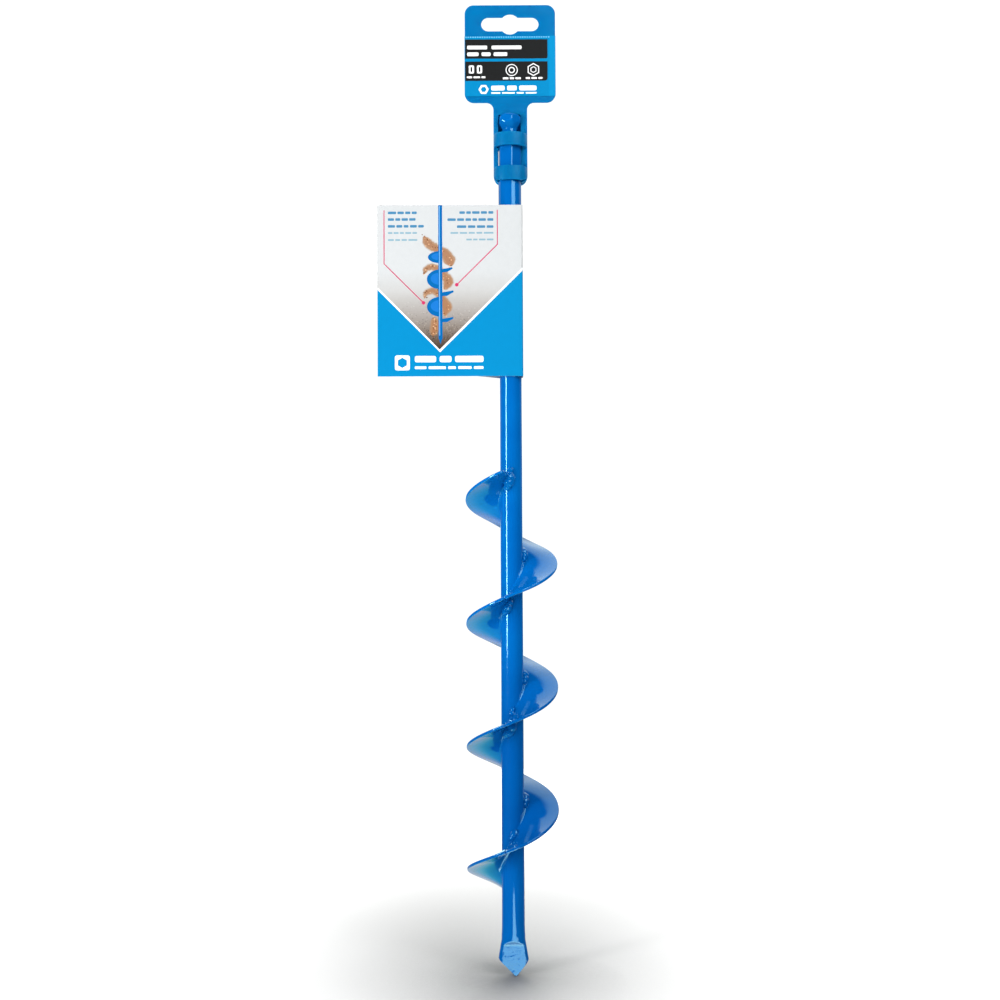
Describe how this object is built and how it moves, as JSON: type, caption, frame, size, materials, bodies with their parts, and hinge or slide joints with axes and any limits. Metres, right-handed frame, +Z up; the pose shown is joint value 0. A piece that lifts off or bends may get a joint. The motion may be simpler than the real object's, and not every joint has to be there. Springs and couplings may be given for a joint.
{
  "type": "soil auger",
  "caption": "Blue enamelled spiral drill bit for digging small holes in soil, with hex drive shank, welded screw flight, forged point, plastic hang tag and folded card label.",
  "frame": {"origin": "on the auger's axis, centre of the hex shank's top end face", "axes": "+Z up along the auger's axis, out of the shank's end, so the point is at the lowest Z; -Y is the side the label's printed face looks to, and the label's flag points to -X"},
  "size_m": [0.094, 0.048, 0.509],
  "materials": {
    "blue_enamel": "thick gloss enamel over steel",
    "tag_plastic": "semi-gloss moulded plastic",
    "tag_print": "printed gloss film label",
    "label_card": "printed coated card"
  },
  "bodies": {
    "auger": {"shaft": "blue_enamel", "flight_section_1": "blue_enamel", "flight_section_2": "blue_enamel", "flight_section_3": "blue_enamel", "flight_section_4": "blue_enamel", "top_end_weld": "blue_enamel", "joint_weld_1": "blue_enamel", "joint_weld_2": "blue_enamel", "joint_weld_3": "blue_enamel", "bottom_end_weld": "blue_enamel", "side_tack_welds": "blue_enamel"},
    "tag": {"hang_tag": "tag_plastic", "tag_sticker": "tag_print"},
    "label": {"flag_label": "label_card"}
  },
  "joints": [
    {"name": "tag_slide", "type": "slide", "parent": "auger", "child": "tag", "axis": [0, 0, 1], "range_m": [0, 0.045]},
    {"name": "label_turn", "type": "hinge", "parent": "auger", "child": "label", "pos_m": [0, 0, -0.094], "axis": [0, 0, 1], "continuous": true}
  ]
}
